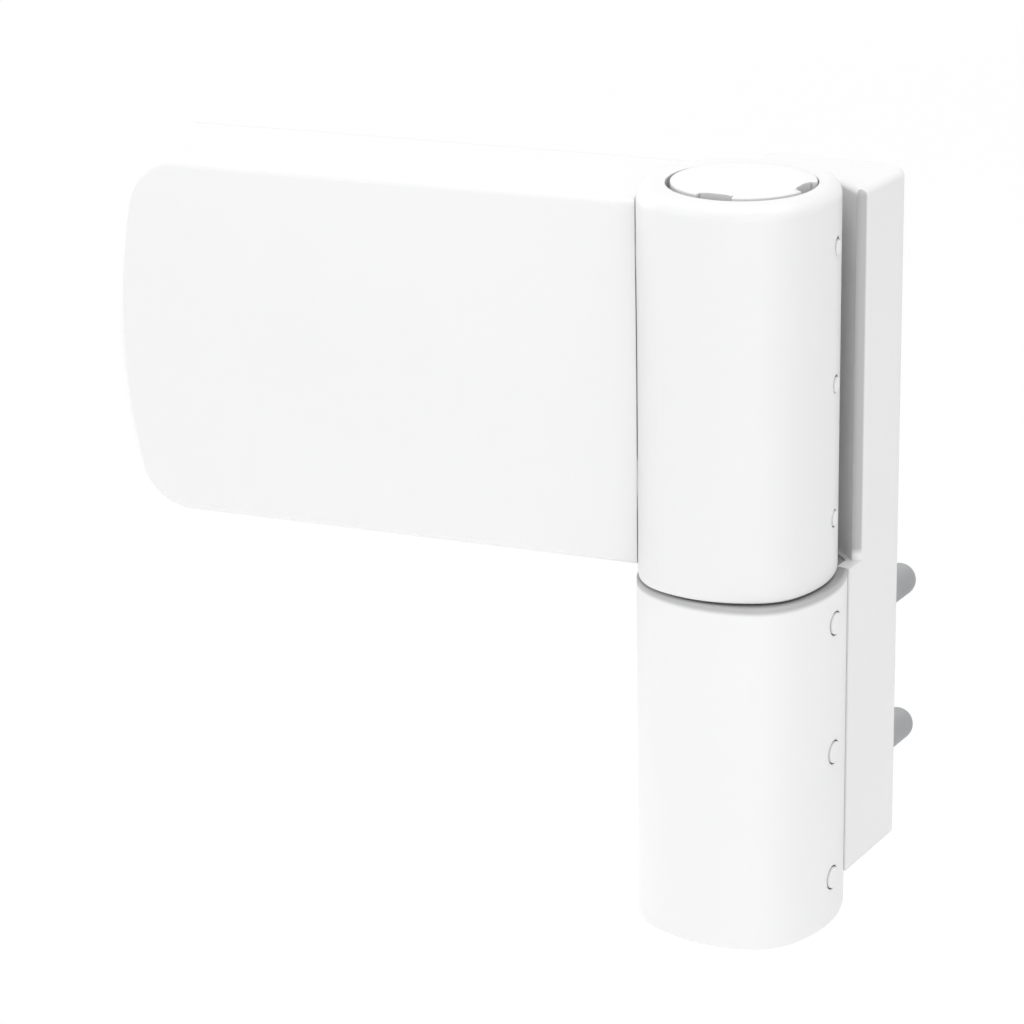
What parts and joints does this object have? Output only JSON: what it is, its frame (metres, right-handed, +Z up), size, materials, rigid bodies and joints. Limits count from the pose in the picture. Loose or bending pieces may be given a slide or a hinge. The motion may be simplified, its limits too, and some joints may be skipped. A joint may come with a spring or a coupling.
{
  "type": "adjustable door hinge",
  "caption": "White flag hinge for a plastic door: a wide sash leaf turns on a pin over a narrow frame leaf with locating pegs, and adjusts in height, pressure and sideways.",
  "frame": {"origin": "on the door frame's surface, straight behind the hinge pin, at the height of the lower barrel's top", "axes": "+Z up along the pin, +Y into the door frame, -Y out to the barrels, -X along the closed sash leaf"},
  "size_m": [0.1334, 0.0748, 0.124],
  "materials": {
    "white_enamel": "satin",
    "white_plastic": "satin",
    "grey_zinc": "matt",
    "bright_steel": "satin",
    "bearing_plastic": "matt",
    "cast_alloy": "satin"
  },
  "bodies": {
    "frame_leaf": {"frame_bracket": "white_enamel", "frame_plate": "grey_zinc", "locating_pegs": "grey_zinc", "frame_cover": "white_plastic", "lower_side_screws": "bright_steel", "lower_side_plugs": "white_plastic", "foot_cap": "white_plastic"},
    "height_screw": {"height_screw": "bright_steel"},
    "height_sleeve": {"height_sleeve": "grey_zinc"},
    "eccentric_bush": {"eccentric_bush": "grey_zinc"},
    "hinge_pin": {"hinge_pin": "bright_steel", "thrust_washer": "bearing_plastic"},
    "sash_leaf": {"sash_knuckle": "white_enamel", "lower_bearing_bush": "bearing_plastic", "upper_bearing_bush": "bearing_plastic", "top_cap": "white_plastic", "upper_side_screws": "bright_steel", "upper_side_plugs": "white_plastic", "flag_cover": "white_plastic"},
    "base_plate": {"base_plate": "cast_alloy", "clamp_screws": "bright_steel", "clamp_washers": "bright_steel"},
    "lateral_spindle": {"lateral_spindle": "bright_steel"}
  },
  "joints": [
    {"name": "height_screw_turn", "type": "hinge", "parent": "frame_leaf", "child": "height_screw", "pos_m": [-0.001, -0.0305, -0.05], "axis": [0, 0, 1], "range_deg": [0, 961]},
    {"name": "height_lift", "type": "slide", "parent": "frame_leaf", "child": "height_sleeve", "axis": [0, 0, 1], "range_m": [0, 0.004]},
    {"name": "pressure_turn", "type": "hinge", "parent": "height_sleeve", "child": "eccentric_bush", "pos_m": [-0.001, -0.0305, 0], "axis": [0, 0, 1], "range_deg": [-90, 90]},
    {"name": "pin_turn", "type": "hinge", "parent": "eccentric_bush", "child": "hinge_pin", "pos_m": [0, -0.0305, 0], "axis": [0, 0, 1], "range_deg": [-91, 91]},
    {"name": "leaf_swing", "type": "hinge", "parent": "hinge_pin", "child": "sash_leaf", "pos_m": [0, -0.0305, 0.03], "axis": [0, 0, 1], "range_deg": [-9, 161]},
    {"name": "side_shift", "type": "slide", "parent": "sash_leaf", "child": "base_plate", "axis": [0.9877, 0.1564, 0], "range_m": [-0.003, 0.003]},
    {"name": "side_spindle_turn", "type": "hinge", "parent": "base_plate", "child": "lateral_spindle", "pos_m": [-0.09392, -0.03839, 0.0316], "axis": [0.9877, 0.1564, 0], "range_deg": [-865, 865]}
  ],
  "couplings": [
    {"joint": "height_screw_turn", "follows": "height_lift", "rad_per_m": 4188.8},
    {"joint": "pin_turn", "follows": "pressure_turn", "ratio": -1},
    {"joint": "side_spindle_turn", "follows": "side_shift", "rad_per_m": 5026.5}
  ]
}
